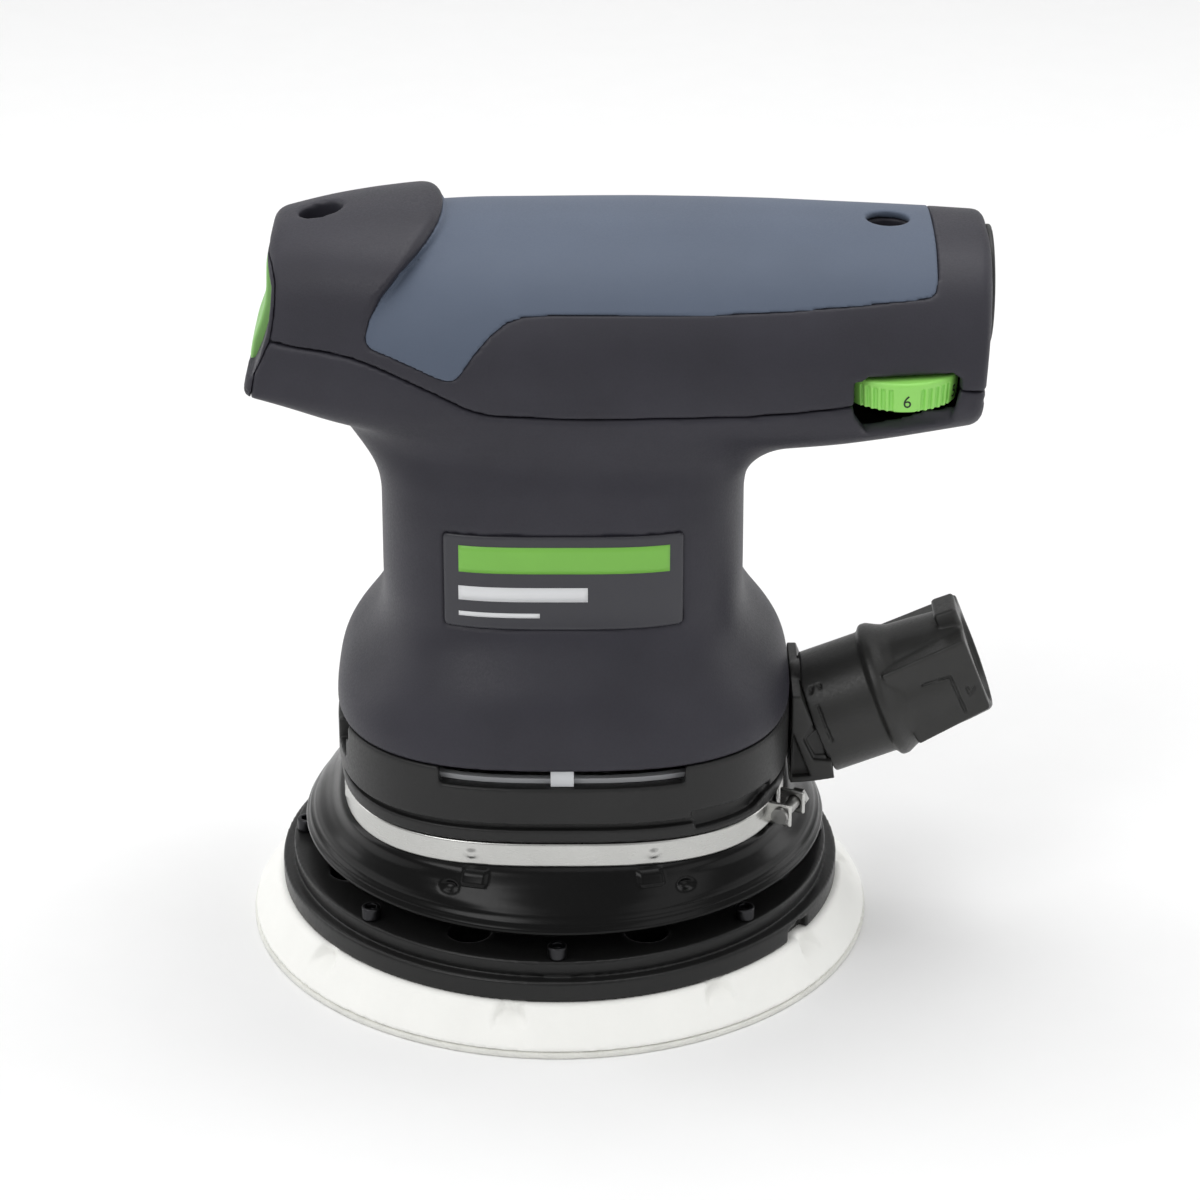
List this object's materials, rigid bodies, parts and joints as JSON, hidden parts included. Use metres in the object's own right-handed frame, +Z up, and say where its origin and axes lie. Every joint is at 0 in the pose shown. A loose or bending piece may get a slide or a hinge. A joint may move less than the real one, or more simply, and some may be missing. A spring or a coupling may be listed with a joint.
{
  "type": "random orbit sander",
  "caption": "Compact mains random-orbit sander with a round foam pad, side-facing grip handle, speed wheel, front power rocker and an angled rear dust connector.",
  "frame": {"origin": "where the motor axis meets the plane of the pad's abrasive face", "axes": "+Z up along the motor axis away from the work, +X towards the rear, where the dust connector and mains inlet are, +Y to the side away from the speed wheel"},
  "size_m": [0.1495, 0.125, 0.1526],
  "materials": {
    "housing_plastic": "fine matt texture",
    "soft_grip": "smooth matt soft-touch",
    "label_film": "satin",
    "base_plastic": "satin",
    "grey_plastic": "satin",
    "skirt_rubber": "glossy",
    "band_steel": "brushed",
    "fastener_steel": "zinc plated",
    "cast_alloy": "as cast",
    "bearing_steel": "ground",
    "sleeve_rubber": "matt",
    "motor_plastic": "matt",
    "lamination_steel": "laminated",
    "copper_winding": "enamelled wire",
    "contact_brass": "satin",
    "carbon": "matt",
    "spring_steel": "satin",
    "board_laminate": "solder resist",
    "capacitor_film": "gloss",
    "pot_plastic": "satin",
    "inlet_plastic": "satin",
    "blue_insulation": "satin",
    "red_insulation": "satin",
    "rocker_plastic": "satin",
    "wheel_plastic": "satin",
    "commutator_copper": "turned",
    "cast_iron": "as cast",
    "pad_plastic": "satin",
    "pad_foam": "fine closed-cell foam",
    "hook_fabric": "hook face"
  },
  "bodies": {
    "housing": {"upper_shell": "housing_plastic", "grip_panel": "soft_grip", "lower_shell": "housing_plastic", "front_cap": "housing_plastic", "label_plate": "label_film", "fan_housing": "base_plastic", "air_guide_ring": "grey_plastic", "dust_duct": "base_plastic", "dust_connector": "base_plastic", "skirt": "skirt_rubber", "clamp_band": "band_steel", "clamp_screw": "fastener_steel", "bearing_bridge": "cast_alloy", "bridge_screws": "fastener_steel", "lower_bearing": "bearing_steel", "upper_bearing": "bearing_steel", "bearing_sleeve": "sleeve_rubber", "motor_cap": "motor_plastic", "motor_cap_screws": "fastener_steel", "stator_core": "lamination_steel", "field_coils": "copper_winding", "brush_holders": "contact_brass", "carbon_brushes": "carbon", "brush_springs": "spring_steel", "brush_caps": "motor_plastic", "circuit_board": "board_laminate", "interference_capacitor": "capacitor_film", "power_triac": "motor_plastic", "potentiometer": "pot_plastic", "plug_inlet": "inlet_plastic", "inlet_pins": "contact_brass", "switch_module": "motor_plastic", "housing_screws": "fastener_steel", "supply_leads": "blue_insulation", "motor_leads": "red_insulation"},
    "rotor": {"armature_shaft": "bearing_steel", "armature_core": "lamination_steel", "armature_windings": "copper_winding", "commutator": "commutator_copper", "cooling_fan": "motor_plastic", "extraction_fan": "motor_plastic", "eccentric_hub": "cast_alloy", "counterweight": "cast_iron", "pad_bearing_upper": "bearing_steel", "pad_bearing_lower": "bearing_steel", "bearing_circlip": "spring_steel"},
    "pad": {"pad_spindle": "bearing_steel", "pad_plate": "pad_plastic", "pad_foam": "pad_foam", "hook_face": "hook_fabric", "pad_screw": "fastener_steel", "pad_washer": "fastener_steel", "pad_posts": "fastener_steel"},
    "rocker": {"switch_rocker": "rocker_plastic"},
    "wheel": {"speed_wheel": "wheel_plastic"}
  },
  "joints": [
    {"name": "rotor_spin", "type": "hinge", "parent": "housing", "child": "rotor", "pos_m": [0, 0, 0.086], "axis": [0, 0, 1], "continuous": true},
    {"name": "pad_spin", "type": "hinge", "parent": "rotor", "child": "pad", "pos_m": [-0.001, 0, 0.027], "axis": [0, 0, 1], "continuous": true},
    {"name": "rocker_tilt", "type": "hinge", "parent": "housing", "child": "rocker", "pos_m": [-0.0534, 0, 0.1331], "axis": [0, 1, 0], "range_deg": [-7, 0]},
    {"name": "speed_wheel_turn", "type": "hinge", "parent": "housing", "child": "wheel", "pos_m": [0.0636, -0.0197, 0.1233], "axis": [0, 0, 1], "range_deg": [-300, 0]}
  ]
}
